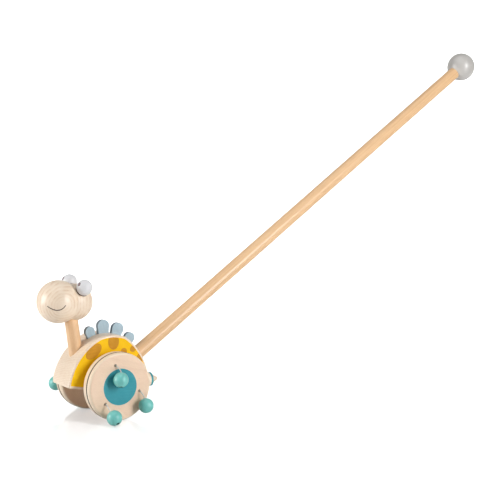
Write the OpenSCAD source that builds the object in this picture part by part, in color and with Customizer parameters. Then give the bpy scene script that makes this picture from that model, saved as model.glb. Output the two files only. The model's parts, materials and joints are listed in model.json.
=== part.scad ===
// Wooden push-along animal: a long-necked creature on two wheels, with a push stick and six beads
// on cords that swing and clack against the wheels as it rolls.
// Millimetres. +X forward (the face), +Y to the toy's left, +Z up.
// Origin on the floor, midway between the wheels, straight under the axle.

/* [Wheels] */
// Radius of the wooden wheels
wheel_r = 34.8; // [33:0.1:36]
// Thickness of a wheel
wheel_t = 14.6; // [13:0.1:16]
// Distance from the middle of the toy to a wheel's outer face
wheel_face_y = 40.8; // [40:0.1:43]
// Rounding of the wheel's edges
wheel_edge = 2.4; // [1:0.1:3]
// Radius of the painted disc on a wheel's outer face
hub_r = 18.75; // [14:0.25:20]
// Radius of the axle dowel
axle_r = 5; // [4:0.1:6]

/* [Beads] */
// Radius of a bead
bead_r = 7.75; // [6.5:0.05:7.75]
// Radius of the circle that the cord holes lie on
hole_circle_r = 23; // [21:0.5:25]
// Radius of the cord
cord_r = 0.6; // [0.5:0.05:0.7]
// Turn of the left wheel's first cord hole, from forward to up
left_phase = 77; // [70:1:84]
// Turn of the right wheel's first cord hole, from forward to up
right_phase = 14; // [8:1:20]

/* [Body] */
// Width of the body block
body_w = 40.5; // [36:0.5:41]
// Rounding along the body's curved edges
body_edge = 2; // [0.5:0.5:3]
// Pitch of the flat underside, nose up
base_pitch = 10; // [4:1:14]
// Height of the underside where it passes under the axle
base_z = 27.2; // [24:0.1:27.5]
// Bare border between the painted side and the body's edge
paint_border = 2.3; // [1:0.1:5]
// Thickness of the crest board
crest_t = 4.6; // [3:0.2:6]

/* [Neck and head] */
// Radius of the neck dowel
neck_r = 7; // [5:0.5:7.5]
// Forward lean of the neck
neck_lean = 7.7; // [4:0.1:10]
// Radius of the muzzle
muzzle_r = 22; // [21:0.1:23]
// Radius of the back of the head
skull_r = 19; // [18:0.1:20]
// Radius of an eye
eye_r = 8.15; // [7:0.05:8.5]
// Upward tilt of the head
head_tilt = 5; // [0:0.5:10]
// Turn of the head to the toy's left
head_yaw = 4; // [-12:1:12]
// Roll of the head, right side up
head_roll = 6; // [-8:1:8]

/* [Push stick] */
// Radius of the stick
stick_r = 7.5; // [6:0.5:8]
// Length of the stick, with both of its glued ends
stick_len = 619; // [400:1:700]
// Rise of the stick above the horizontal
stick_rise = 34.4; // [32:0.1:37]
// Radius of the handle ball
ball_r = 17.5; // [14:0.5:22]

/* [Hidden] */
$fn = 96;
LEFT = 1;
RIGHT = -1;

// Fits
glue_gap = 0.05;
run_gap = 0.06;
side_gap = 0.4;

// Body outline: three arcs, each [centre x, centre z, radius]
rear_arc = [18.3, 30.1, 63.1];
front_arc = [-12.2, 28, 60.4];
top_arc = [-0.7, 37.4, 47.8];
far = 200;

// Wheels and axle
axle_z = 35;
wheel_inner_y = wheel_face_y - wheel_t;
tyre_section_r = 0.95;
tyre_r = axle_z - tyre_section_r;
tyre_y = wheel_face_y - 6;
groove_w = 2.1;
groove_floor_r = tyre_r - tyre_section_r;
axle_depth = 9.5;
axle_end_y = wheel_inner_y + axle_depth;
hub_depth = 0.3;
spacer_r = 9;
paint_t = 0.2;
spot_t = 0.1;
spacer_y = body_w / 2 + paint_t + side_gap;

// Cord holes, knots and the pockets that hold them
hole_r = 1.5;
knot_r = 1.9;
pocket_r = 2.4;
pocket_depth = 4.4;
bead_bore_r = 1.2;
bead_pocket_r = 2.1;
bead_pocket_depth = 4.4;
cord_sides = 8;
cord_steps = 8;
cord_pull = 2.8;
anchor_y = wheel_inner_y + pocket_depth - knot_r;

// A bead's rest: [name, wheel side, hole turn, centre from the hole's mouth as [forward, outward, up],
// direction of its bore from the cord's side to the knot's side as [forward, outward, up]]
BEADS = [
    ["left_1", LEFT, left_phase, [-1.7, 8.1, -13.6], [0.22, 0.38, -0.9]],
    ["left_2", LEFT, left_phase + 120, [-2.7, 9, -14], [-0.1, 0.25, -1]],
    ["left_3", LEFT, left_phase + 240, [-1.8, 15.7, -11.3], [-0.15, 0.72, -0.68]],
    ["right_1", RIGHT, right_phase, [6.4, 12.2, -13.9], [0.3, 0.5, -0.8]],
    ["right_2", RIGHT, right_phase + 120, [0, 8.1, -13.7], [0, 0.3, -1]],
    ["right_3", RIGHT, right_phase + 240, [0, 18.2, -4.9], [0, 1, -0.25]]
];

// Crest: each lobe is [turn of its middle from straight up towards the back, tip's radius, tip's reach]
crest_hub = [-2, 41];
crest_base_r = 43;
crest_lobes = [[-19, 5.3, 55], [-1, 6.7, 58.3], [18.5, 6.7, 56.4], [39, 5.8, 53]];
crest_slot_r = 36;
crest_root_turn = 7;

// Neck, head and face, in the head's own frame: origin in the skull's middle, +X along the muzzle
neck_foot = [28.3, 56.5];
neck_len = 57.5;
head_at = [30.6, -0.4, 119.9];
muzzle_x = 18.5;
waist_r = 4;
blend_step = 0.02;
eye_at = [-0.7, 15.8, 18];

// Stick and tail, as [x, z] points
stick_foot = [-18, 43.8];
ball_grip = 20;
tail_z = 30.2;
tail_r = 7.4;
tail_root_x = -29;
tail_shoulder_x = -57.6;
tail_band_w = 2.4;
tail_band_depth = 0.4;
tail_cone_r = 5.7;
tail_nose_r = 2.2;
tail_tip_x = -66.3;

// Darker spots over the painted side: each is [x, z, half length, half height, turn]
SPOTS = [
    [19.3, 70.3, 10.2, 6.2, 38],
    [-3.3, 78.5, 6.2, 8.4, 0],
    [-15, 67, 3.6, 3.8, 0],
    [-26, 69, 3.9, 3.3, 30],
    [-34, 58.5, 4.6, 3.2, -60]
];

// ---- Helpers ----

function unit(v) = v / norm(v);
function side_y(side, v) = [v[0], side * v[1], v[2]];

// Where a bead's cord leaves the wheel's face
function mouth(b) = [
    hole_circle_r * cos(b[2]),
    b[1] * wheel_face_y,
    axle_z + hole_circle_r * sin(b[2])
];
function bead_centre(b) = mouth(b) + side_y(b[1], b[3]);
function bead_axis(b) = unit(side_y(b[1], b[4]));
function bead_top(b) = bead_centre(b) - bead_r * bead_axis(b);
function bead_knot_at(b) = bead_centre(b) + (bead_r - bead_pocket_depth + knot_r) * bead_axis(b);

function bezier(p, t) =
    pow(1 - t, 3) * p[0] + 3 * t * pow(1 - t, 2) * p[1] + 3 * t * t * (1 - t) * p[2] + pow(t, 3) * p[3];

// The free cord: straight out of the hole, over in one curve to the bead, and down its bore to the knot
function cord_route(b) =
    let (
        start = mouth(b),
        top = bead_top(b),
        bend = [start, start + [0, b[1] * cord_pull, 0], top - cord_pull * bead_axis(b), top],
        inner = bead_knot_at(b) - top
    )
    concat(
        [for (i = [0 : cord_steps]) bezier(bend, i / cord_steps)],
        [for (i = [1 : 3]) top + inner * i / 3]
    );

function tangent(p, i) = unit(p[min(i + 1, len(p) - 1)] - p[max(i - 1, 0)]);
function cord_ring(at, along, r) =
    let (n = unit(cross(along, [1, 0, 0])), s = cross(n, along))
    [for (k = [0 : cord_sides - 1]) let (a = k * 360 / cord_sides) at + r * (n * cos(a) + s * sin(a))];

// One tube swept along points p. Its rounded start turns in the hole's mouth without catching
module cord_tube(p) {
    first = tangent(p, 0);
    rings = concat(
        [cord_ring(p[0] - cord_r * first * 0.95, first, cord_r * 0.3)],
        [cord_ring(p[0] - cord_r * first * 0.7, first, cord_r * 0.7)],
        [for (i = [0 : len(p) - 1]) cord_ring(p[i], tangent(p, i), cord_r)]
    );
    last = len(rings) - 1;
    polyhedron(
        [for (ring = rings) each ring],
        concat(
            [[for (k = [0 : cord_sides - 1]) k]],
            [for (i = [0 : last - 1], k = [0 : cord_sides - 1])
                let (a = i * cord_sides, c = (k + 1) % cord_sides)
                [a + k, a + cord_sides + k, a + cord_sides + c, a + c]],
            [[for (k = [cord_sides - 1 : -1 : 0]) last * cord_sides + k]]
        )
    );
}

// Lays what was built along +Z so that it runs along +Y
module along_y() rotate([-90, 0, 0]) children();

// Turns what was built along +Z to run along direction v
module aim(v) {
    rotate([0, acos(v[2] / norm(v)), atan2(v[1], v[0])]) children();
}

// A disc about the Y axis, from y = -w/2 to w/2, with its rims rounded by e, or sharp where e is 0
module puck(r, w, e) {
    along_y() {
        if (e == 0) cylinder(r = r, h = w, center = true);
        else rotate_extrude() {
            translate([0, -w / 2]) square([r - e, w]);
            translate([0, e - w / 2]) square([r, w - 2 * e]);
            for (s = [-1, 1]) translate([r - e, s * (w / 2 - e)]) circle(e, $fn = 48);
        }
    }
}

// The body's outline drawn in by d, as a slab of width w with its curved edges rounded by e
module body_slab(w, d, e) {
    intersection() {
        translate([rear_arc[0], 0, rear_arc[1]]) puck(rear_arc[2] - d, w, e);
        translate([front_arc[0], 0, front_arc[1]]) puck(front_arc[2] - d, w, e);
        translate([top_arc[0], 0, top_arc[1]]) puck(top_arc[2] - d, w, e);
        translate([0, 0, base_z + d]) rotate([0, -base_pitch, 0])
            translate([-far / 2, -far / 2, 0]) cube(far);
    }
}

module stick_frame() {
    translate([stick_foot[0], 0, stick_foot[1]]) rotate([0, stick_rise - 90, 0]) children();
}
module neck_frame() translate([neck_foot[0], 0, neck_foot[1]]) rotate([0, neck_lean, 0]) children();
module head_frame() {
    translate(head_at) rotate([0, 0, head_yaw]) rotate([0, -head_tilt, 0])
        rotate([-head_roll, 0, 0]) children();
}
module tail_frame() translate([tail_root_x, 0, tail_z]) rotate([0, -90, 0]) children();

// ---- Body ----

module body_block() color("BurlyWood") {
    difference() {
        body_slab(body_w, 0, body_edge);
        translate([0, 0, axle_z]) along_y() cylinder(r = axle_r + run_gap, h = far, center = true);
        stick_frame() cylinder(r = stick_r + glue_gap, h = far);
        neck_frame() cylinder(r = neck_r + glue_gap, h = far);
        tail_frame() cylinder(r = tail_r + glue_gap, h = far);
        crest_slot();
    }
}

// The part of a ring about the crest's hub, between two radii, that the crest's root takes up
module crest_sector(r_in, r_out) {
    first = crest_lobes[0][0] - crest_root_turn;
    last = crest_lobes[3][0] + crest_root_turn;
    middle = (first + last) / 2;
    difference() {
        intersection() {
            circle(r_out);
            polygon([[0, 0], for (a = [first, middle, last]) 2 * r_out * [-sin(a), cos(a)]]);
        }
        circle(r_in);
    }
}

// Stands an outline drawn about the crest's hub upright along the toy's middle, as a board of thickness t
module crest_board(t) {
    translate([crest_hub[0], 0, crest_hub[1]]) rotate([90, 0, 0])
        linear_extrude(t, center = true) children();
}

// One lobe: a round tip on a shank that widens slightly towards it
module crest_lobe(r, reach) {
    translate([0, reach - r]) circle(r);
    root = 0.8 * r;
    shoulder = 0.97 * r;
    low = crest_slot_r + 2;
    polygon([[-root, low], [root, low], [shoulder, reach - r], [-shoulder, reach - r]]);
}

// The slot along the back that the crest board is glued into
module crest_slot() crest_board(crest_t + 2 * glue_gap) crest_sector(crest_slot_r - glue_gap, far / 2);

module crest() color("LightSteelBlue") crest_board(crest_t) {
    crest_sector(crest_slot_r, crest_base_r);
    for (lobe = crest_lobes) rotate(lobe[0]) crest_lobe(lobe[1], lobe[2]);
}

// The painted field on one side of the body, open round the axle
module side_paint(side) color("Gold") {
    difference() {
        intersection() {
            body_slab(far, paint_border, 0);
            side_layer(side, 0, paint_t);
        }
        translate([0, 0, axle_z]) along_y() cylinder(r = axle_r + side_gap, h = far, center = true);
    }
}

// The space beside the body from height a to height b above its side face
module side_layer(side, a, b) {
    translate([-far / 2, side > 0 ? body_w / 2 + a : -body_w / 2 - b, -far / 2]) cube([far, b - a, far]);
}

// The darker spots printed over the painted field
module spots(side) color("DarkGoldenrod") {
    intersection() {
        body_slab(far, paint_border, 0);
        side_layer(side, paint_t, paint_t + spot_t);
        for (s = SPOTS) translate([s[0], 0, s[1]]) rotate([0, s[4], 0]) rotate([90, 0, 0])
            linear_extrude(far, center = true)
                polygon([for (a = [0 : 10 : 350]) [s[2] * cos(a), s[3] * sin(a)]]);
    }
}

// ---- Neck and head ----

module neck() color("SandyBrown") neck_frame() cylinder(r = neck_r, h = neck_len);

// Half of the head's turned outline: two balls joined by a soft waist. The waist's arc is larger by
// blend_step, so that it crosses both balls and doesn't just touch them.
module head_outline() {
    from_muzzle = muzzle_r + waist_r;
    from_skull = skull_r + waist_r;
    along = (pow(muzzle_x, 2) + pow(from_skull, 2) - pow(from_muzzle, 2)) / (2 * muzzle_x);
    out = sqrt(pow(from_skull, 2) - pow(along, 2));
    intersection() {
        translate([0, -far / 2]) square(far);
        union() {
            circle(skull_r);
            translate([0, muzzle_x]) circle(muzzle_r);
            difference() {
                polygon([[0, 0], [out, along], [0, muzzle_x]]);
                translate([out, along]) circle(waist_r + blend_step);
            }
        }
    }
}

// The turned head, with sockets for the eyes and the neck
module head() color("BurlyWood") {
    difference() {
        head_frame() rotate([0, 90, 0]) rotate_extrude() head_outline();
        for (s = [LEFT, RIGHT]) eye_ball(s, eye_r + glue_gap);
        neck_frame() cylinder(r = neck_r + glue_gap, h = neck_len);
    }
}

// A ball of radius r where an eye sits, with its pole pointing away from the head
module eye_ball(side, r) {
    head_frame() translate(side_y(side, eye_at)) aim(side_y(side, eye_at)) sphere(r);
}

module eye(side) color("WhiteSmoke") eye_ball(side, eye_r);

// ---- Tail ----

module tail() color("BurlyWood") tail_frame() {
    shoulder = tail_root_x - tail_shoulder_x;
    tip = tail_root_x - tail_tip_x;
    difference() {
        cylinder(r = tail_r, h = shoulder);
        tail_ring(shoulder, 1);
    }
    translate([0, 0, shoulder])
        cylinder(r1 = tail_cone_r, r2 = tail_nose_r * 0.95, h = tip - shoulder - tail_nose_r * 0.7);
    translate([0, 0, tip - tail_nose_r]) sphere(tail_nose_r);
}

// The painted band, flush in a shallow groove; over widens it past the surface, for cutting the groove
module tail_ring(shoulder, over) {
    translate([0, 0, shoulder - tail_band_w]) difference() {
        cylinder(r = tail_r + over, h = tail_band_w + over);
        translate([0, 0, -1]) cylinder(r = tail_r - tail_band_depth, h = tail_band_w + over + 2);
    }
}

module tail_band() color("Teal") tail_frame() tail_ring(tail_root_x - tail_shoulder_x, 0);

// ---- Push stick ----

module push_stick() color("SandyBrown") stick_frame() cylinder(r = stick_r, h = stick_len);

module handle_ball() color("LightGrey") {
    stick_frame() difference() {
        translate([0, 0, stick_len - ball_grip + ball_r]) sphere(ball_r);
        cylinder(r = stick_r + glue_gap, h = stick_len);
    }
}

// ---- Wheelset ----

module axle() color("Tan") {
    translate([0, 0, axle_z]) along_y() cylinder(r = axle_r, h = 2 * axle_end_y - 0.2, center = true);
}

module wheel(side) color("Wheat") {
    difference() {
        translate([0, side * (wheel_face_y - wheel_t / 2), axle_z]) puck(wheel_r, wheel_t, wheel_edge);
        // groove for the ring
        translate([0, side * tyre_y, axle_z]) along_y() difference() {
            cylinder(r = wheel_r + 1, h = groove_w, center = true);
            cylinder(r = groove_floor_r, h = groove_w + 1, center = true);
        }
        // blind bore for the axle, from the inner face
        translate([0, 0, axle_z]) along_y()
            cylinder(r = axle_r + glue_gap, h = 2 * axle_end_y, center = true);
        // shallow recess that the painted disc fills
        translate([0, side * wheel_face_y, axle_z]) along_y()
            cylinder(r = hub_r, h = 2 * hub_depth, center = true);
        for (b = BEADS) if (b[1] == side) {
            translate([mouth(b)[0], 0, mouth(b)[2]]) along_y() {
                cylinder(r = hole_r, h = far, center = true);
                translate([0, 0, side * wheel_inner_y])
                    cylinder(r = pocket_r, h = 2 * pocket_depth, center = true);
            }
        }
    }
}

module tyre(side) color("DimGray") {
    translate([0, side * tyre_y, axle_z]) along_y()
        rotate_extrude() translate([tyre_r, 0]) circle(tyre_section_r, $fn = 24);
}

module hub_paint(side) color("CadetBlue") {
    translate([0, side * (wheel_face_y - hub_depth / 2), axle_z]) along_y()
        cylinder(r = hub_r, h = hub_depth, center = true);
}

module spacer(side) color("Tan") {
    width = wheel_inner_y - spacer_y;
    translate([0, side * (spacer_y + width / 2), axle_z]) along_y() difference() {
        cylinder(r = spacer_r, h = width, center = true);
        cylinder(r = axle_r + glue_gap, h = width + 1, center = true);
    }
}

// ---- Beads and cords ----

module bead(b) color("MediumAquamarine") {
    translate(bead_centre(b)) aim(bead_axis(b)) difference() {
        sphere(bead_r);
        cylinder(r = bead_bore_r, h = 3 * bead_r, center = true);
        translate([0, 0, bead_r - bead_pocket_depth]) cylinder(r = bead_pocket_r, h = bead_r);
    }
}

// A knot: a ball with the cord's end in it, entering from below
module knot() {
    difference() {
        sphere(knot_r);
        translate([0, 0, -2 * knot_r]) cylinder(r = cord_r + glue_gap, h = 2 * knot_r + 0.1);
    }
}

module bead_knot(b) color("White") translate(bead_knot_at(b)) aim(bead_axis(b)) knot();

module cord(b) color("White") cord_tube(cord_route(b));

// The cord's fixed end, through the wheel from its knot almost to the face
module cord_root(b) color("White") {
    reach = wheel_face_y - cord_r - anchor_y;
    translate([mouth(b)[0], b[1] * (anchor_y + reach / 2), mouth(b)[2]]) along_y()
        cylinder(r = cord_r, h = reach, center = true);
}

module anchor_knot(b) color("White") {
    translate([mouth(b)[0], b[1] * anchor_y, mouth(b)[2]]) rotate([b[1] * 90, 0, 0]) knot();
}

// ---- Nodes ----

body_block();
side_paint(LEFT);  // side_paint_left
side_paint(RIGHT);  // side_paint_right
spots(LEFT);  // spots_left
spots(RIGHT);  // spots_right
crest();
neck();
head();
eye(LEFT);  // eye_left
eye(RIGHT);  // eye_right
tail();
tail_band();
push_stick();
handle_ball();
axle();
wheel(LEFT);  // wheel_left
wheel(RIGHT);  // wheel_right
tyre(LEFT);  // tyre_left
tyre(RIGHT);  // tyre_right
hub_paint(LEFT);  // hub_paint_left
hub_paint(RIGHT);  // hub_paint_right
spacer(LEFT);  // spacer_left
spacer(RIGHT);  // spacer_right
for (b = BEADS) {
    bead(b);
    cord(b);
    bead_knot(b);
    cord_root(b);
    anchor_knot(b);
}
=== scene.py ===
"""Looks for a wooden push-along animal: a long-necked creature on two wheels with beads on cords.
Metres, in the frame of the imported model: +X towards the face, +Y to the toy's left, +Z up.
The named sizes of the toy's own pieces are in millimetres, as in its CAD source."""
import json
import math

import bpy
from mathutils import Matrix, Vector


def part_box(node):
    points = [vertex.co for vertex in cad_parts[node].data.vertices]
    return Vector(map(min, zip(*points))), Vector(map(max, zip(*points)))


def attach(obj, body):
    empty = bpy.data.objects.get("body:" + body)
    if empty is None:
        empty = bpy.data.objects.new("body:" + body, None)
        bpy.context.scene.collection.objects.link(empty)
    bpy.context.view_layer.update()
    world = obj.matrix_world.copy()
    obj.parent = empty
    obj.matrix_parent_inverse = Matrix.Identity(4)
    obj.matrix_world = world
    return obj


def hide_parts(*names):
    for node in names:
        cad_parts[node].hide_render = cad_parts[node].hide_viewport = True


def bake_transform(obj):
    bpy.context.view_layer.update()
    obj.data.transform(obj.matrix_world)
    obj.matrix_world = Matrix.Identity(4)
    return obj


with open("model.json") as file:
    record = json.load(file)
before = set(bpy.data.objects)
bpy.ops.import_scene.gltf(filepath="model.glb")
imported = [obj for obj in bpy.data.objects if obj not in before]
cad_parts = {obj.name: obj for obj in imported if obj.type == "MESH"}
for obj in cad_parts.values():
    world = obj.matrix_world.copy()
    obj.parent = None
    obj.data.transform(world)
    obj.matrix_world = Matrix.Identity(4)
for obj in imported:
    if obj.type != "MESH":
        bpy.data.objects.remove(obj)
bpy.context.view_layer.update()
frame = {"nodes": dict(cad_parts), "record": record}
MM = 0.001
QUARTER = math.pi / 2
LEFT, RIGHT = 1, -1
SIDES = (("left", LEFT), ("right", RIGHT))
WHITE = (1, 1, 1, 1)
scene = bpy.context.scene


# ---- Camera ----

SENSOR = 36
LENS = 73.87
CAMERA_AT = Vector((479.6, 961.3, 247.9))
CAMERA_YAW = math.radians(-124.81)
CAMERA_PITCH = math.radians(-4.08)
# level directions from the toy, which place the sweep and the lights
TO_CAMERA = Vector((0.5694, 0.8190, 0))
VIEW_RIGHT = Vector((-0.8211, 0.5708, 0))


def make_camera():
    """A long lens a little above the toy, in front of it and to its left."""
    data = bpy.data.cameras.new("camera")
    data.sensor_width = SENSOR
    data.lens = LENS
    data.clip_start, data.clip_end = 0.01, 50
    camera = bpy.data.objects.new("camera", data)
    scene.collection.objects.link(camera)
    camera.location = CAMERA_AT * MM
    level = math.cos(CAMERA_PITCH)
    look = Vector((level * math.cos(CAMERA_YAW), level * math.sin(CAMERA_YAW), math.sin(CAMERA_PITCH)))
    camera.rotation_mode = "QUATERNION"
    camera.rotation_quaternion = look.to_track_quat("-Z", "Y")
    scene.camera = camera


make_camera()


# ---- Meshes ----

def link_mesh(name, verts, faces, material):
    """A smooth mesh object with one material, linked to the scene."""
    mesh = bpy.data.meshes.new(name)
    mesh.from_pydata(verts, [], faces)
    mesh.update()
    for polygon in mesh.polygons:
        polygon.use_smooth = True
    obj = bpy.data.objects.new(name, mesh)
    scene.collection.objects.link(obj)
    obj.data.materials.append(material)
    return obj


def add_piece(name, verts, faces, material):
    """A mesh that is a piece of the toy."""
    obj = link_mesh(name, verts, faces, material)
    return obj


def path_length(points):
    """The length of a path of straight steps."""
    return sum((b - a).length for a, b in zip(points, points[1:]))


def catmull_rom(a, b, c, d, t):
    """The point a part t of the way from b to c, on the smooth curve through all four."""
    return 0.5 * (2 * b + (c - a) * t + (2 * a - 5 * b + 4 * c - d) * t ** 2
                  + (3 * b - a - 3 * c + d) * t ** 3)


def smooth_path(points, step, parts=40):
    """A Catmull-Rom curve through points, resampled about every step."""
    pts = [points[0] * 2 - points[1]] + list(points) + [points[-1] * 2 - points[-2]]
    fine = [catmull_rom(*pts[i - 1:i + 3], k / parts) for i in range(1, len(pts) - 2) for k in range(parts)]
    fine.append(pts[-2])
    total = path_length(fine)
    count = max(2, round(total / step))
    out, walked, at = [fine[0]], 0.0, 0
    for i in range(1, count):
        goal = total * i / count
        while walked + (fine[at + 1] - fine[at]).length < goal:
            walked += (fine[at + 1] - fine[at]).length
            at += 1
        out.append(fine[at].lerp(fine[at + 1], (goal - walked) / (fine[at + 1] - fine[at]).length))
    return out + [fine[-1]]


def path_tangents(points, closed):
    """The direction of a path at each of its points."""
    last = len(points) - 1
    tangents = []
    for i in range(last + 1):
        before = points[i - 1] if closed or i else points[0]
        after = points[(i + 1) % (last + 1)] if closed or i < last else points[-1]
        tangents.append((after - before).normalized())
    return tangents


def close_end(verts, faces, base, sides, tip, outward):
    """Closes the end ring of a tube that starts at vertex base, with a low cone up to the point tip."""
    verts.append(tip)
    top = len(verts) - 1
    for k in range(sides):
        n = (k + 1) % sides
        faces.append((base + k, base + n, top) if outward > 0 else (base + n, base + k, top))


def tube(points, radius_at, sides, closed=False):
    """Vertices and faces of a tube along points. radius_at(distance, angle) gives the radius; the frame is
    carried along without twist. An open tube's ends are closed, each by a cone half a radius high."""
    count = len(points)
    tangents = path_tangents(points, closed)
    normal = tangents[0].orthogonal().normalized()
    verts, faces, walked = [], [], 0.0
    for i, (point, tangent) in enumerate(zip(points, tangents)):
        if i:
            walked += (point - points[i - 1]).length
            normal = tangents[i - 1].rotation_difference(tangent) @ normal
        normal = (normal - tangent * normal.dot(tangent)).normalized()
        other = tangent.cross(normal)
        for k in range(sides):
            angle = 2 * math.pi * k / sides
            spoke = normal * math.cos(angle) + other * math.sin(angle)
            verts.append(point + spoke * radius_at(walked, angle))
    for i in range(count if closed else count - 1):
        a, b = i * sides, ((i + 1) % count) * sides
        for k in range(sides):
            n = (k + 1) % sides
            faces.append((a + k, a + n, b + n, b + k))
    if not closed:
        for ring, outward in ((0, -1), (count - 1, 1)):
            tip = points[ring] + tangents[ring] * outward * radius_at(0, 0) * 0.5
            close_end(verts, faces, ring * sides, sides, tip, outward)
    return verts, faces


# ---- Node material helpers ----

class Nodes:
    """A small builder for one material's node tree. Lengths in it are millimetres."""

    def __init__(self, name):
        self.material = bpy.data.materials.new(name)
        self.material.use_nodes = True
        self.tree = self.material.node_tree
        self.shader = self.tree.nodes["Principled BSDF"]
        self.source = self.add("ShaderNodeTexCoord")

    def add(self, kind, **settings):
        """A new node with its settings."""
        node = self.tree.nodes.new(kind)
        for key, value in settings.items():
            setattr(node, key, value)
        return node

    def feed(self, socket, value):
        """A socket takes a link from another socket, or a plain value."""
        if isinstance(value, bpy.types.NodeSocket):
            self.tree.links.new(value, socket)
        else:
            socket.default_value = value

    def coords(self, scale=(1, 1, 1), along=(0, 0, 1), centre=(0, 0, 0), offset=(0, 0, 0)):
        """Object coordinates about centre, turned so that local Z runs along the given direction, then
        stretched and shifted."""
        turn = Vector(along).normalized().rotation_difference(Vector((0, 0, 1)))
        mapping = self.add("ShaderNodeMapping")
        self.feed(mapping.inputs["Vector"], self.source.outputs["Object"])
        mapping.inputs["Scale"].default_value = (1 / MM,) * 3
        mapping.inputs["Rotation"].default_value = turn.to_euler()
        mapping.inputs["Location"].default_value = -(turn @ Vector(centre))
        stretch = self.add("ShaderNodeVectorMath", operation="MULTIPLY_ADD")
        self.feed(stretch.inputs[0], mapping.outputs["Vector"])
        stretch.inputs[1].default_value = scale
        stretch.inputs[2].default_value = offset
        return stretch.outputs["Vector"]

    def noise(self, vector, detail=3.0, roughness=0.5):
        """Cloudy noise, from about 0.3 to 0.7, one cloud to each unit of the vector."""
        node = self.add("ShaderNodeTexNoise")
        self.feed(node.inputs["Vector"], vector)
        node.inputs["Scale"].default_value = 1.0
        node.inputs["Detail"].default_value = detail
        node.inputs["Roughness"].default_value = roughness
        return node.outputs["Fac"]

    def length(self, vector):
        """How far a point is from the vector's origin."""
        node = self.add("ShaderNodeVectorMath", operation="LENGTH")
        self.feed(node.inputs[0], vector)
        return node.outputs["Value"]

    def split(self, vector):
        """The X, Y and Z of a vector."""
        node = self.add("ShaderNodeSeparateXYZ")
        self.feed(node.inputs[0], vector)
        return node.outputs

    def ramp(self, value, stops):
        """An eased ramp of greys. stops is a list of (position, grey)."""
        node = self.add("ShaderNodeValToRGB")
        node.color_ramp.interpolation = "EASE"
        elements = node.color_ramp.elements
        while len(elements) < len(stops):
            elements.new(0.5)
        for element, (position, grey) in zip(elements, stops):
            element.position = position
            element.color = (grey, grey, grey, 1)
        self.feed(node.inputs["Fac"], value)
        return node.outputs["Color"]

    def mix(self, factor, a, b):
        """Colour a where factor is 0, and b where it is 1."""
        node = self.add("ShaderNodeMix", data_type="RGBA")
        self.feed(node.inputs["Factor"], factor)
        for socket, value in ((node.inputs[6], a), (node.inputs[7], b)):
            self.feed(socket, value if isinstance(value, bpy.types.NodeSocket) else tuple(value) + (1,))
        return node.outputs[2]

    def math(self, operation, a, b=0.0):
        """One step of arithmetic."""
        node = self.add("ShaderNodeMath", operation=operation)
        self.feed(node.inputs[0], a)
        self.feed(node.inputs[1], b)
        return node.outputs[0]

    def add_up(self, *weighted):
        """The sum of (value, weight) pairs."""
        total = None
        for value, weight in weighted:
            part = self.math("MULTIPLY", value, weight)
            total = part if total is None else self.math("ADD", total, part)
        return total

    def spread(self, value, low, high, to_low=0.0, to_high=1.0):
        """Maps low..high to to_low..to_high, and holds it at the ends."""
        node = self.add("ShaderNodeMapRange")
        self.feed(node.inputs["Value"], value)
        numbers = {"From Min": low, "From Max": high, "To Min": to_low, "To Max": to_high}
        for name, number in numbers.items():
            node.inputs[name].default_value = number
        return node.outputs["Result"]

    def bump(self, height, strength, distance_mm):
        """A normal for a surface with this height over it."""
        node = self.add("ShaderNodeBump")
        node.inputs["Strength"].default_value = strength
        node.inputs["Distance"].default_value = distance_mm * MM
        self.feed(node.inputs["Height"], height)
        return node.outputs["Normal"]

    def edges(self, radius_mm):
        """1 along sharp or tightly rounded edges, 0 on open faces."""
        bevel = self.add("ShaderNodeBevel", samples=4)
        bevel.inputs["Radius"].default_value = radius_mm * MM
        dot = self.add("ShaderNodeVectorMath", operation="DOT_PRODUCT")
        self.feed(dot.inputs[0], bevel.outputs["Normal"])
        self.feed(dot.inputs[1], self.add("ShaderNodeNewGeometry").outputs["Normal"])
        return self.spread(dot.outputs["Value"], 0.995, 0.93)

    def flat_to_side(self, start, end):
        """How far a face looks along Y: 0 where the normal's Y is start, and 1 where it is end."""
        _, across, _ = self.split(self.source.outputs["Normal"])
        return self.spread(self.math("ABSOLUTE", across), start, end)

    def finish(self, colour, roughness, normal=None, coat=0.0, coat_roughness=0.1, specular=0.5):
        """Feeds the shader and returns the material."""
        shader = self.shader
        self.feed(shader.inputs["Base Color"], colour)
        self.feed(shader.inputs["Roughness"], roughness)
        shader.inputs["Specular IOR Level"].default_value = specular
        shader.inputs["Coat Weight"].default_value = coat
        shader.inputs["Coat Roughness"].default_value = coat_roughness
        if normal is not None:
            self.feed(shader.inputs["Normal"], normal)
        return self.material

    def glow(self, strength):
        """Makes the shader give out white light."""
        self.shader.inputs["Emission Color"].default_value = WHITE
        self.feed(self.shader.inputs["Emission Strength"], strength)


# ---- Materials ----

def srgb(r, g, b):
    """Linear colour of an sRGB colour given in 0 to 255."""
    return tuple((c / 255 / 12.92) if c <= 10 else ((c / 255 + 0.055) / 1.055) ** 2.4 for c in (r, g, b))


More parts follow.
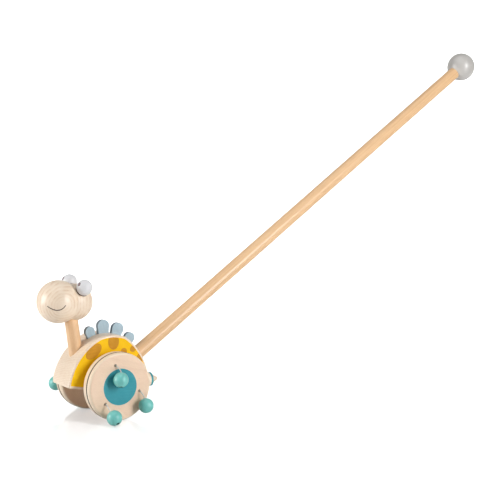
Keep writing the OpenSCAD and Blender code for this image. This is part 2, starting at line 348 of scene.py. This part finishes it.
def growth_rings(n, along, pith, ring_mm, wobble):
    """Growth rings about the pith, 0 in early wood and 1 in late wood. They are fainter in some years and
    close to the pith."""
    wander = n.noise(n.coords((0.045, 0.045, 0.006), along, pith), 3.0)
    x, y, _ = n.split(n.coords((1, 1, 1), along, pith))
    radius = n.math("SQRT", n.math("ADD", n.math("MULTIPLY", x, x), n.math("MULTIPLY", y, y)))
    turns = n.math("ADD", n.math("DIVIDE", radius, ring_mm), n.math("MULTIPLY", wander, wobble))
    rings = n.ramp(n.math("FRACT", turns), [(0.0, 0.25), (0.2, 0.0), (0.6, 0.45), (0.86, 1.0), (1.0, 0.25)])
    year = n.noise(n.coords((0.2, 0.2, 0.02), along, pith, (7, 3, 1)), 1.0)
    rings = n.math("MULTIPLY", rings, n.spread(year, 0.35, 0.65, 0.25, 1.0))
    return n.math("MULTIPLY", rings, n.spread(radius, 2, 11, 0.1, 1.0))


def wood(name, pale, dark, along, pith, ring_mm=2.6, ring_part=0.5, fleck=0.2, tone=0.5, wobble=2.0,
         face_shade_tint=None, edge_highlight_tint=None):
    """Clear-lacquered beech. The fibres run along a direction, and pith is a point on the tree's axis, in
    millimetres. ring_part is the rings' share of the figure, fleck the pores' strength and tone the
    figure's. The face tint is a darker colour for the flat sides across Y: painted shade, partly the end
    grain's own pinker tone. The edge tint is a paler colour for the rounded edges: a painted highlight."""
    n = Nodes(name)
    rings = growth_rings(n, along, pith, ring_mm, wobble)
    fibre = n.noise(n.coords((2.3, 2.3, 0.06), along, pith, (3, 5, 0)), 4.0, 0.6)
    broad = n.noise(n.coords((0.09, 0.09, 0.01), along, pith, (0, 9, 4)), 2.0)
    dots = n.noise(n.coords((2.4, 2.4, 0.33), along, pith, (5, 3, 9)), 1.0)
    pores = n.ramp(dots, [(0.60, 0.0), (0.70, 1.0)])
    streaks, bands = n.spread(fibre, 0.32, 0.68), n.spread(broad, 0.35, 0.65)
    rest = 1 - ring_part
    shade = n.add_up((rings, ring_part), (streaks, rest * 0.7), (bands, rest * 0.3))
    # painted shade: the flat sides across Y take the darker face tint, partly the end grain's own pinker
    # tone
    if face_shade_tint:
        pale = n.mix(n.flat_to_side(0.9, 0.99), pale, face_shade_tint)
    colour = n.mix(n.math("MULTIPLY", shade, tone), pale, dark)
    colour = n.mix(n.math("MULTIPLY", pores, fleck), colour, tuple(c * 0.62 for c in dark))
    # painted highlight: the rounded edges are mixed towards the paler edge tint
    if edge_highlight_tint:
        colour = n.mix(n.math("MULTIPLY", n.edges(1.2), 0.5), colour, edge_highlight_tint)
    relief = n.bump(n.add_up((fibre, 0.5), (pores, -0.35)), 0.25, 0.04)
    roughness = n.spread(fibre, 0.3, 0.7, 0.36, 0.48)
    return n.finish(colour, roughness, relief, coat=0.35, coat_roughness=0.28, specular=0.45)


# painted shade: the near-black colour of the bare wood deep in a bead's bore
BORE_SHADE_COLOUR = (0.05, 0.03, 0.02)
BORE_DEPTH = 7.35


def paint(name, colour, rough=0.38, along=(1, 0, 0), coat=0.25, vary=0.1, grain=0.4, specular=0.5, seed=0.0,
          bore_centre=None):
    """Lacquer or printed paint on wood: cloudy colour, grain telegraphing through, and dust nibs. Round
    bore_centre, what lies deeper than BORE_DEPTH is the bore's bare wood, painted near-black as shade."""
    n = Nodes(name)
    cloud = n.noise(n.coords((0.11,) * 3, offset=(seed, seed, seed)), 3.0)
    fibre = n.noise(n.coords((1.5, 1.5, 0.07), along, (0, 0, 0), (seed, 0, 0)), 3.0, 0.6)
    peel = n.noise(n.coords((0.9,) * 3, offset=(seed, 0, 0)), 2.0)
    nibs = n.ramp(n.noise(n.coords((2.7,) * 3, offset=(seed, 4, 4)), 0.0), [(0.7, 0.0), (0.78, 1.0)])
    lighter = tuple(min(1.0, c * (1 + vary) + 0.005) for c in colour)
    darker = tuple(c * (1 - vary) for c in colour)
    mixed = n.mix(n.spread(n.add_up((cloud, 0.5), (fibre, 0.5)), 0.36, 0.64), darker, lighter)
    # painted shade: the bore's bare wood is darkened to near-black
    if bore_centre:
        inside = n.spread(n.length(n.coords(centre=bore_centre)), BORE_DEPTH, BORE_DEPTH - 0.5)
        mixed = n.mix(inside, mixed, BORE_SHADE_COLOUR)
    roughness = n.spread(peel, 0.3, 0.7, rough - 0.05, rough + 0.06)
    relief = n.bump(n.add_up((fibre, grain), (peel, 0.4), (nibs, 0.3)), 0.25, 0.05)
    return n.finish(mixed, roughness, relief, coat=coat, coat_roughness=0.2, specular=specular)


def crest_stain(name):
    """Blue-grey stain on beech board: paler soft faces, and darker edges where the end grain drank it."""
    n = Nodes(name)
    fibre = n.noise(n.coords((1.6, 1.6, 0.08), (0.3, 0, 1), (0, 0, 0)), 4.0, 0.6)
    mottle = n.noise(n.coords((0.5,) * 3), 4.0, 0.6)
    face = n.mix(n.spread(fibre, 0.35, 0.65), srgb(165, 188, 201), srgb(177, 199, 210))
    rim = n.mix(n.spread(mottle, 0.4, 0.6), srgb(128, 144, 156), srgb(156, 171, 181))
    colour = n.mix(n.flat_to_side(0.75, 0.45), face, rim)
    colour = n.mix(n.spread(mottle, 0.6, 0.75, 0.0, 0.25), colour, srgb(196, 212, 220))
    relief = n.bump(n.add_up((fibre, 0.7), (mottle, 0.4)), 0.4, 0.06)
    return n.finish(colour, n.spread(mottle, 0.3, 0.7, 0.5, 0.66), relief, specular=0.35)


def rubber(name):
    """Dark matt rubber with a fine mould texture and a little dust."""
    n = Nodes(name)
    fine = n.noise(n.coords((5, 5, 5)), 2.0)
    dust = n.noise(n.coords((0.4,) * 3), 4.0)
    colour = n.mix(n.spread(dust, 0.5, 0.75, 0.0, 0.3), (0.012, 0.009, 0.008), (0.05, 0.04, 0.035))
    return n.finish(colour, n.spread(fine, 0.3, 0.7, 0.62, 0.8), n.bump(fine, 0.4, 0.05), specular=0.3)


def cord_weave(name, pale, dull):
    """Twisted cotton cord: soft white yarn, hairy and a little soiled."""
    n = Nodes(name)
    fine = n.noise(n.coords((7, 7, 7)), 3.0)
    soil = n.noise(n.coords((0.5,) * 3), 3.0)
    colour = n.mix(n.spread(soil, 0.4, 0.7, 0.0, 0.7), pale, dull)
    colour = n.mix(n.spread(fine, 0.5, 0.75, 0.0, 0.6), colour, tuple(c * 0.5 for c in dull))
    return n.finish(colour, n.spread(fine, 0.3, 0.7, 0.55, 0.8), n.bump(fine, 0.6, 0.08), specular=0.3)


def ink(name, dark, light, inner_mm, outer_mm, stretch):
    """Printed ink whose middle is paler than its rim. The piece's own origin is the print's centre."""
    n = Nodes(name)
    away = n.length(n.coords(stretch))
    speckle = n.noise(n.coords((3, 3, 3)), 3.0)
    fade = n.spread(n.math("ADD", away, n.math("MULTIPLY", speckle, 0.3)), inner_mm, outer_mm)
    colour = n.mix(fade, light, dark)
    return n.finish(colour, n.spread(speckle, 0.3, 0.7, 0.4, 0.55), n.bump(speckle, 0.2, 0.03))


STICK_DIR = (-0.825113, 0, 0.564967)
NECK_DIR = (0.13399, 0, 0.990983)
HEAD_GRAIN = (0.50, 0.86, -0.02)
BODY_GRAIN = (1, 0.05, 0.22)
ALONG_X = (1, 0, 0)
ALONG_Y = (0, 1, 0)
PALE = srgb(245, 228, 207)
TAN = srgb(213, 175, 136)
# a paler colour for the body's rounded edges: a painted highlight
EDGE_HIGHLIGHT = srgb(253, 243, 226)
RIM = srgb(242, 224, 199)
RIM_DARK = srgb(206, 168, 134)
# the wheels' face tint is painted shade on their flat sides, partly the end grain's pinker tone; their edge
# tint, the rim colour, is a painted highlight on the rounded edges
WHEEL = {"ring_part": 0.4, "fleck": 0.12, "tone": 0.42, "face_shade_tint": srgb(238, 208, 181), "edge_highlight_tint": RIM}
BEECH = {
    # the body's edge tint is a painted highlight on its rounded edges
    "body_block": wood("body_beech", PALE, TAN, BODY_GRAIN, (0, 60, -190), 2.6, 0.5, fleck=0.25, tone=0.6,
                       edge_highlight_tint=EDGE_HIGHLIGHT),
    "head": wood("head_beech", PALE, TAN, HEAD_GRAIN, (42.5, 3, 121), 3.0, 0.68, fleck=0.12, tone=0.74),
    "tail": wood("tail_beech", PALE, TAN, ALONG_X, (0, 8, 60), 2.2),
    "neck": wood("neck_beech", srgb(240, 202, 158), srgb(203, 148, 98), NECK_DIR, (48, 26, 60), 2.6, 0.6,
                 tone=0.6),
    "push_stick": wood("stick_beech", srgb(234, 195, 149), srgb(200, 149, 101), STICK_DIR, (30, 12, 60), 2.4,
                       0.6, tone=0.6),
    "axle": wood("axle_beech", srgb(232, 195, 150), srgb(200, 150, 102), ALONG_Y, (9, 0, 60), 2.2),
    "wheel_left": wood("wheel_left_beech", RIM, RIM_DARK, (1, 0.1, 0.45), (0, 130, 20), 3.4, **WHEEL),
    "wheel_right": wood("wheel_right_beech", RIM, RIM_DARK, (0.6, 0.1, 1), (20, -120, 0), 3.1, **WHEEL),
    "spacer_left": wood("spacer_left_beech", PALE, TAN, ALONG_Y, (5, 0, 20), 2.0),
    "spacer_right": wood("spacer_right_beech", PALE, TAN, ALONG_Y, (15, 0, 30), 2.0),
}
PRINT = {"rough": 0.5, "coat": 0, "grain": 0.6}
SLOT_LOOKS = {
    "yellow_paint": paint("yellow_print", srgb(255, 200, 2), vary=0.04, specular=0.15, **PRINT),
    "spot_paint": paint("spot_print", srgb(207, 146, 36), vary=0.08, specular=0.15, seed=3, **PRINT),
    "teal_paint": paint("teal_print", srgb(54, 150, 163), 0.45, coat=0, vary=0.06, grain=0.6, specular=0.25,
                        seed=6),
    "ball_paint": paint("ball_lacquer", srgb(187, 184, 180), 0.34, coat=0.35, vary=0.04, grain=0.3, seed=9),
    "eye_paint": paint("eye_lacquer", srgb(224, 224, 226), 0.36, coat=0.3, vary=0.04, grain=0.5, seed=12),
    "crest_paint": crest_stain("crest_stain"),
    "rubber_ring": rubber("ring_rubber"),
    "cord": cord_weave("cord_cotton", (0.80, 0.80, 0.78), (0.55, 0.52, 0.48)),
}
# painted shade: the knots' cotton is much darker than the cord's, so that they stay dark in the holes they
# sit in
KNOT_SHADED_LOOK = cord_weave("knot_cotton_shaded", (0.50, 0.47, 0.43), (0.30, 0.27, 0.23))
BEAD_COLOUR = srgb(112, 194, 187)
BEAD_GRAIN = (0.2, 0.1, 1)


def middle(node):
    """The middle of a CAD node's box, in metres."""
    lo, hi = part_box(node)
    return (Vector(lo) + Vector(hi)) / 2


def dress_cad():
    """Gives every carried-over CAD node its own material, or that of its slot in the record."""
    slots = {row["node"]: row["material_slot"] for row in frame["record"]["subparts"]}
    for seed, (name, obj) in enumerate(sorted(frame["nodes"].items())):
        if name in BEECH:
            look = BEECH[name]
        elif slots[name] == "bead_paint":
            look = paint(name + "_lacquer", BEAD_COLOUR, 0.36, BEAD_GRAIN, 0.35, 0.07, 0.3, seed=seed * 2.5,
                         bore_centre=tuple(middle(name) / MM))
        else:
            look = SLOT_LOOKS[slots[name]]
        obj.data.materials.clear()
        obj.data.materials.append(look)


dress_cad()


# ---- Cords, knots and beads ----

AXLE_Z = 35
WHEEL_FACE = 40.8
HOLE_CIRCLE = 23
BEAD_R = 7.75
CORD_R = 0.6
# how far the cord runs straight on at the hole and at the bead before it curves
CORD_PULL = 2.8
# the anchor knot's distance from the toy's middle, and the far knot's from the bead's centre
ANCHOR_Y = 28.7
KNOT_REACH = 5.25
KNOT_DRAW = 0.3
BEAD_KNOT_R = 1.75
ANCHOR_KNOT_R = 1.85
STRANDS = 3
TWIST_MM = 3.4
# each bead at rest: name, side, turn of its hole, centre from the hole's mouth, direction of its bore
BEADS = [
    ("left_1", LEFT, 77, (-1.7, 8.1, -13.6), (0.22, 0.38, -0.9)),
    ("left_2", LEFT, 197, (-2.7, 9, -14), (-0.1, 0.25, -1)),
    ("left_3", LEFT, 317, (-1.8, 15.7, -11.3), (-0.15, 0.72, -0.68)),
    ("right_1", RIGHT, 14, (6.4, 12.2, -13.9), (0.3, 0.5, -0.8)),
    ("right_2", RIGHT, 134, (0, 8.1, -13.7), (0, 0.3, -1)),
    ("right_3", RIGHT, 254, (0, 18.2, -4.9), (0, 1, -0.25)),
]


def sided(v, side):
    """A vector given for the left side, on the side asked for."""
    return Vector((v[0], side * v[1], v[2]))


def bezier(p, t):
    """The point at t on a cubic curve with four control points."""
    return p[0] * (1 - t) ** 3 + p[1] * 3 * t * (1 - t) ** 2 + p[2] * 3 * t * t * (1 - t) + p[3] * t ** 3


def cord_route(side, turn, offset, bore):
    """The cord's points in millimetres: anchor knot, hole's mouth, one curve to the bead, far knot."""
    angle = math.radians(turn)
    spoke = Vector((math.cos(angle), 0, math.sin(angle)))
    mouth = Vector((0, side * WHEEL_FACE, AXLE_Z)) + spoke * HOLE_CIRCLE
    centre = mouth + sided(offset, side)
    axis = sided(bore, side).normalized()
    top = centre - axis * BEAD_R
    knot = centre + axis * KNOT_REACH
    bend = [mouth, mouth + Vector((0, side * CORD_PULL, 0)), top - axis * CORD_PULL, top]
    anchor = Vector((mouth.x, side * ANCHOR_Y, mouth.z))
    points = [anchor.lerp(mouth, i / 4) for i in range(4)]
    points += [bezier(bend, i / 8) for i in range(9)]
    points += [top.lerp(knot, i / 3) for i in range(1, 4)]
    return anchor, mouth, knot, axis, points


def ridge(turn):
    """1 on a strand's back and 0 in the groove between two strands, for strands wound round a cord."""
    return abs(math.cos(STRANDS * turn / 2))


def cord_radius(walked, angle):
    """Three twisted strands: the radius dips in the grooves between them."""
    return CORD_R * MM * (0.80 + 0.20 * ridge(angle - 2 * math.pi * walked / (TWIST_MM * MM)))


def trefoil(t):
    """A point of the trefoil knot's own curve, three units in radius, at angle t."""
    x = math.sin(t) + 2 * math.sin(2 * t)
    y = math.cos(t) - 2 * math.cos(2 * t)
    return Vector((x, y, -1.5 * math.sin(3 * t)))


def add_knot(name, centre, axis, size, body, node):
    """An overhand knot, drawn tight: a trefoil of the cord about the bore's axis, with a short cut tail."""
    steps, sides, strand_mm = 150, 12, 0.55
    to_axis = Vector((0, 0, 1)).rotation_difference(axis)
    tube_r = size * 0.34
    spread = (size - tube_r) / 3
    loop = [(centre + to_axis @ (trefoil(2 * math.pi * i / steps) * spread)) * MM for i in range(steps)]
    stub = [(centre + axis * (0.2 + 0.25 * i)) * MM for i in range(5)]

    def loop_radius(walked, angle):
        return tube_r * MM * (0.86 + 0.14 * ridge(angle - walked / (strand_mm * MM)))

    def stub_radius(walked, angle):
        return tube_r * MM * (0.85 + 0.15 * math.cos(5 * angle))

    verts, faces = tube(loop, loop_radius, sides, closed=True)
    stub_verts, stub_faces = tube(stub, stub_radius, sides)
    faces += [tuple(i + len(verts) for i in face) for face in stub_faces]
    knot = add_piece(name, verts + stub_verts, faces, KNOT_SHADED_LOOK)
    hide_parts(node)
    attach(knot, body)
    return knot


def make_cord(name, side, turn, offset, bore):
    """A twisted cord with its two knots."""
    anchor, mouth, knot, axis, points = cord_route(side, turn, offset, bore)
    swivel, hanging = "cord_swivel_" + name, "hanging_bead_" + name
    path = smooth_path([p * MM for p in points], 0.3 * MM)
    verts, faces = tube(path, cord_radius, 18)
    cord = add_piece("twisted_cord_" + name, verts, faces, SLOT_LOOKS["cord"])
    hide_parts("cord_" + name, "cord_root_" + name)
    out = Vector((0, side, 0))
    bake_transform(cord)
    end_knot = add_knot("tied_knot_" + name, knot - axis * KNOT_DRAW, axis, BEAD_KNOT_R, hanging,
                        "bead_knot_" + name)
    fixed_knot = add_knot("tied_anchor_" + name, anchor, -out, ANCHOR_KNOT_R, swivel, "anchor_knot_" + name)


for bead in BEADS:
    make_cord(*bead)


# ---- Face ----

HEAD_AT = Vector((30.6, -0.4, 119.9))
HEAD_TURN = (Matrix.Rotation(math.radians(4), 3, "Z") @ Matrix.Rotation(math.radians(-5), 3, "Y")
             @ Matrix.Rotation(math.radians(-6), 3, "X"))
MUZZLE_X = 18.5
MUZZLE_R = 22
SKULL_R = 19
PRINT_T = 0.06
# how deep the rim of a print is sunk into the surface under it
RIM_SINK = -0.05
GAZE = (0.9, 0.15, 0.43)
PUPIL_HALF_W = 1.7
PUPIL_HALF_H = 2.05
PUPIL_RINGS = 8
PUPIL_SIDES = 40
# the smile's points on the muzzle: turn from straight ahead and height, in degrees
SMILE = [(33.4, -5.9), (43.0, -9.9), (52.0, -12.7), (60.5, -13.4), (70.0, -11.0), (77.2, -5.4), (82.0, 1.9)]
# the spacing of the smile's finer points, on a ball of radius 1
SMILE_STEP = 0.012
# a printed line's section: place across it in half widths, and height in print thicknesses
LINE_SECTION = [(-1.0, -0.05), (-0.8, 0.6), (0.0, 1.0), (0.8, 0.6), (1.0, -0.05)]
# the painted shadow line round an eye: its radius, and how far it stands off the eye and off the skull
CREASE_R = 0.62
OFF_EYE = 0.3
OFF_SKULL = 0.1
CREASE_STEPS = 120
# the smile's dark ink; the same look paints the shadow line in the crease round each eye
LINE_LOOK = ink("mouth_ink_and_socket_shade", srgb(66, 38, 28), srgb(78, 46, 35), 0, 400, (1, 1, 1))


def direction(azimuth, elevation):
    """A unit vector in the head's frame, from degrees: 0 is forward, 90 is the head's left."""
    a, e = math.radians(azimuth), math.radians(elevation)
    return Vector((math.cos(e) * math.cos(a), math.cos(e) * math.sin(a), math.sin(e)))


def head_point(v):
    """A point given in the head's frame, in the toy's."""
    return HEAD_AT + HEAD_TURN @ v


def eye_ball(name):
    """The centre and the radius of an eye's ball, in millimetres."""
    lo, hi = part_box("eye_" + name)
    return middle("eye_" + name) / MM, (hi[2] - lo[2]) / MM / 2


def pupil_mesh(eye_r):
    """A thin oval cap that follows a ball, about the ball's front point, with its rim sunk into it."""
    verts = [Vector((0, 0, PRINT_T))]
    lifts = [PRINT_T] * (PUPIL_RINGS - 1) + [PRINT_T * 0.5, RIM_SINK]
    for ring, lift in enumerate(lifts, 1):
        part = min(ring, PUPIL_RINGS) / PUPIL_RINGS
        for k in range(PUPIL_SIDES):
            a = 2 * math.pi * k / PUPIL_SIDES
            flat = Vector((PUPIL_HALF_W * part * math.cos(a), PUPIL_HALF_H * part * math.sin(a), 0))
            ball = Vector((flat.x, flat.y, math.sqrt(eye_r ** 2 - flat.length_squared)))
            verts.append(ball * ((eye_r + lift) / eye_r) - Vector((0, 0, eye_r)))
    faces = [(0, 1 + k, 1 + (k + 1) % PUPIL_SIDES) for k in range(PUPIL_SIDES)]
    for ring in range(PUPIL_RINGS):
        a, b = 1 + ring * PUPIL_SIDES, 1 + (ring + 1) * PUPIL_SIDES
        for k in range(PUPIL_SIDES):
            n = (k + 1) % PUPIL_SIDES
            faces.append((a + k, b + k, b + n, a + n))
    return verts, faces


def make_pupil(name, side):
    """An oval print on an eye, about 3 by 4 millimetres, with a paler middle."""
    centre, eye_r = eye_ball(name)
    gaze = (HEAD_TURN @ sided(GAZE, side)).normalized()
    up = (Vector((0, 0, 1)) - gaze * gaze.z).normalized()
    turn = Matrix((up.cross(gaze), up, gaze)).transposed()
    verts, faces = pupil_mesh(eye_r)
    look = ink("pupil_ink_" + name, srgb(96, 62, 66), srgb(176, 156, 163), 0.35, 1.15, (1, 0.72, 1))
    pupil = add_piece("pupil_print_" + name, [v * MM for v in verts], faces, look)
    pupil.matrix_world = Matrix.Translation((centre + gaze * eye_r) * MM) @ turn.to_4x4()
    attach(pupil, "chassis")


def ribbon_mesh(points, normals, widths):
    """A low rounded line printed on a surface, in metres, from points and normals in millimetres."""
    verts, faces = [], []
    last, across_count = len(points) - 1, len(LINE_SECTION)
    for i, (point, normal, width) in enumerate(zip(points, normals, widths)):
        along = (points[min(i + 1, last)] - points[max(i - 1, 0)]).normalized()
        across = normal.cross(along).normalized()
        for aside, height in LINE_SECTION:
            verts.append((point + across * (aside * width) + normal * (height * PRINT_T)) * MM)
    for i in range(last):
        for k in range(across_count - 1):
            a = i * across_count + k
            faces.append((a, a + across_count, a + across_count + 1, a + 1))
    return verts, faces


def make_smile(name, side):
    """The thin smile on one side of the muzzle, its rear corner turned up. It is widest in its middle."""
    ball = smooth_path([direction(side * azimuth, elevation) for azimuth, elevation in SMILE], SMILE_STEP)
    normals = [(HEAD_TURN @ v).normalized() for v in ball]
    centre = head_point(Vector((MUZZLE_X, 0, 0)))
    last = len(normals) - 1
    widths = [0.32 + 0.22 * math.sin(math.pi * i / last) ** 0.6 for i in range(last + 1)]
    verts, faces = ribbon_mesh([centre + v * MUZZLE_R for v in normals], normals, widths)
    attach(add_piece("smile_print_" + name, verts, faces, LINE_LOOK), "chassis")


def crease_point(eye, eye_r, axis, spoke, skull, muzzle):
    """The point where an eye's surface meets the head: the surface is followed along one spoke, from the
    eye's far pole towards the head."""
    low, high = 0.0, math.pi
    for _ in range(30):
        mid = (low + high) / 2
        point = eye + (axis * -math.cos(mid) + spoke * math.sin(mid)) * eye_r
        inside = (point - skull).length < SKULL_R or (point - muzzle).length < MUZZLE_R
        low, high = (low, mid) if inside else (mid, high)
    return point


def make_socket_shadow_line(name):
    """A painted shadow: a dark line in the crease where an eye sits in the head. It follows the two circles
    in which the eye's ball meets the skull and the muzzle."""
    eye, eye_r = eye_ball(name)
    skull, muzzle = head_point(Vector((0, 0, 0))), head_point(Vector((MUZZLE_X, 0, 0)))
    axis = (skull - eye).normalized()
    first = axis.orthogonal().normalized()
    second = axis.cross(first)
    loop = []
    for i in range(CREASE_STEPS):
        a = 2 * math.pi * i / CREASE_STEPS
        spoke = first * math.cos(a) + second * math.sin(a)
        point = crease_point(eye, eye_r, axis, spoke, skull, muzzle)
        off = (point - eye).normalized() * OFF_EYE + (point - skull).normalized() * OFF_SKULL
        loop.append((point + off) * MM)
    verts, faces = tube(loop, lambda walked, angle: CREASE_R * MM, 10, closed=True)
    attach(add_piece("socket_shadow_line_" + name, verts, faces, LINE_LOOK), "chassis")


for eye_name, eye_side in SIDES:
    make_pupil(eye_name, eye_side)
    make_smile(eye_name, eye_side)
    make_socket_shadow_line(eye_name)


# ---- Stage ----

# the sweep in metres: its floor from behind the camera to the bend, the bend's radius, and its top
SWEEP_BACK = 3.0
SWEEP_BEND = 0.9
SWEEP_R = 0.9
SWEEP_TOP = 4.0
SWEEP_HALF_W = 4
SWEEP_STEPS = 24
# the sweep's glow, weaker near the toy so that its shadow shows: distances in millimetres
GLOW_NEAR = (250, 0.41)
GLOW_FAR = (900, 1.0)
# the far white wall in metres: its radius, and its lowest and highest edges
BACKDROP_R = 6.0
BACKDROP_SPAN = (-4.0, 9.0)
BACKDROP_SIDES = 64
# what the lamps look at, in metres
LIT_POINT = Vector((0, 0, 0.07))
WORLD_LIGHT = 0.12


def make_sweep():
    """A white seamless sweep, slightly glossy where the toy stands."""
    rows = [(-SWEEP_BACK, 0.0), (SWEEP_BEND, 0.0)]
    for i in range(1, SWEEP_STEPS + 1):
        a = i * QUARTER / SWEEP_STEPS
        rows.append((SWEEP_BEND + SWEEP_R * math.sin(a), SWEEP_R - SWEEP_R * math.cos(a)))
    rows.append((SWEEP_BEND + SWEEP_R, SWEEP_TOP))
    away = -TO_CAMERA.normalized()
    across = Vector((away.y, -away.x, 0)) * SWEEP_HALF_W
    verts = [away * along + across * s + Vector((0, 0, up)) for along, up in rows for s in (-1, 1)]
    faces = [(2 * i, 2 * i + 1, 2 * i + 3, 2 * i + 2) for i in range(len(rows) - 1)]
    n = Nodes("sweep_paper")
    grain = n.noise(n.coords((0.4,) * 3), 3.0)
    n.finish((0.5, 0.5, 0.5, 1), n.spread(grain, 0.3, 0.7, 0.05, 0.09))
    n.glow(n.spread(n.length(n.coords()), GLOW_NEAR[0], GLOW_FAR[0], GLOW_NEAR[1], GLOW_FAR[1]))
    sweep = link_mesh("sweep", verts, faces, n.material)
    # the glow whitens the sweep only: the toy is lit by the softboxes and what the floor reflects of them
    glow_on = bpy.data.collections.new("glow_on")
    glow_on.objects.link(sweep)
    sweep.light_linking.receiver_collection = glow_on


def make_backdrop():
    """A plain white wall all round, a long way off, so that every side of the toy is seen against white.
    Only the camera sees it: it lights nothing and shades nothing."""
    verts = []
    for i in range(BACKDROP_SIDES):
        a = 2 * math.pi * i / BACKDROP_SIDES
        verts += [(BACKDROP_R * math.cos(a), BACKDROP_R * math.sin(a), z) for z in BACKDROP_SPAN]
    count = len(verts)
    faces = [(i, i + 1, (i + 3) % count, (i + 2) % count) for i in range(0, count, 2)]
    n = Nodes("backdrop_white")
    n.finish((0, 0, 0, 1), 1.0, specular=0.0)
    n.glow(1.0)
    backdrop = link_mesh("backdrop", verts, faces, n.material)
    for kind in ("diffuse", "glossy", "transmission", "volume_scatter", "shadow"):
        setattr(backdrop, "visible_" + kind, False)


def softbox(name, place, size, watts):
    """A soft rectangular lamp that looks at the toy."""
    data = bpy.data.lights.new(name, "AREA")
    data.shape = "RECTANGLE"
    data.size, data.size_y = size
    data.energy = watts
    light = bpy.data.objects.new(name, data)
    light.location = place
    light.rotation_mode = "QUATERNION"
    light.rotation_quaternion = (LIT_POINT - place).to_track_quat("-Z", "Y")
    scene.collection.objects.link(light)


def make_lights():
    """Two tall softboxes, a stronger one on the camera's right and a weaker one on its left, and a large
    weak one overhead."""
    world = bpy.data.worlds.new("studio")
    scene.world = world
    world.use_nodes = True
    background = world.node_tree.nodes["Background"]
    background.inputs["Color"].default_value = WHITE
    background.inputs["Strength"].default_value = WORLD_LIGHT
    boxes = (
        ("softbox_right", VIEW_RIGHT * 1.15 + TO_CAMERA * 0.7, 0.42, (0.26, 0.7), 13),
        ("softbox_left", VIEW_RIGHT * -1.0 + TO_CAMERA * 0.3, 0.24, (0.26, 0.7), 10),
        ("softbox_top", TO_CAMERA * 0.1, 1.25, (1.0, 1.0), 5.2),
    )
    for name, aside, up, size, watts in boxes:
        softbox(name, LIT_POINT + aside + Vector((0, 0, up)), size, watts)


make_sweep()
make_backdrop()
make_lights()
scene.view_settings.view_transform = "Standard"
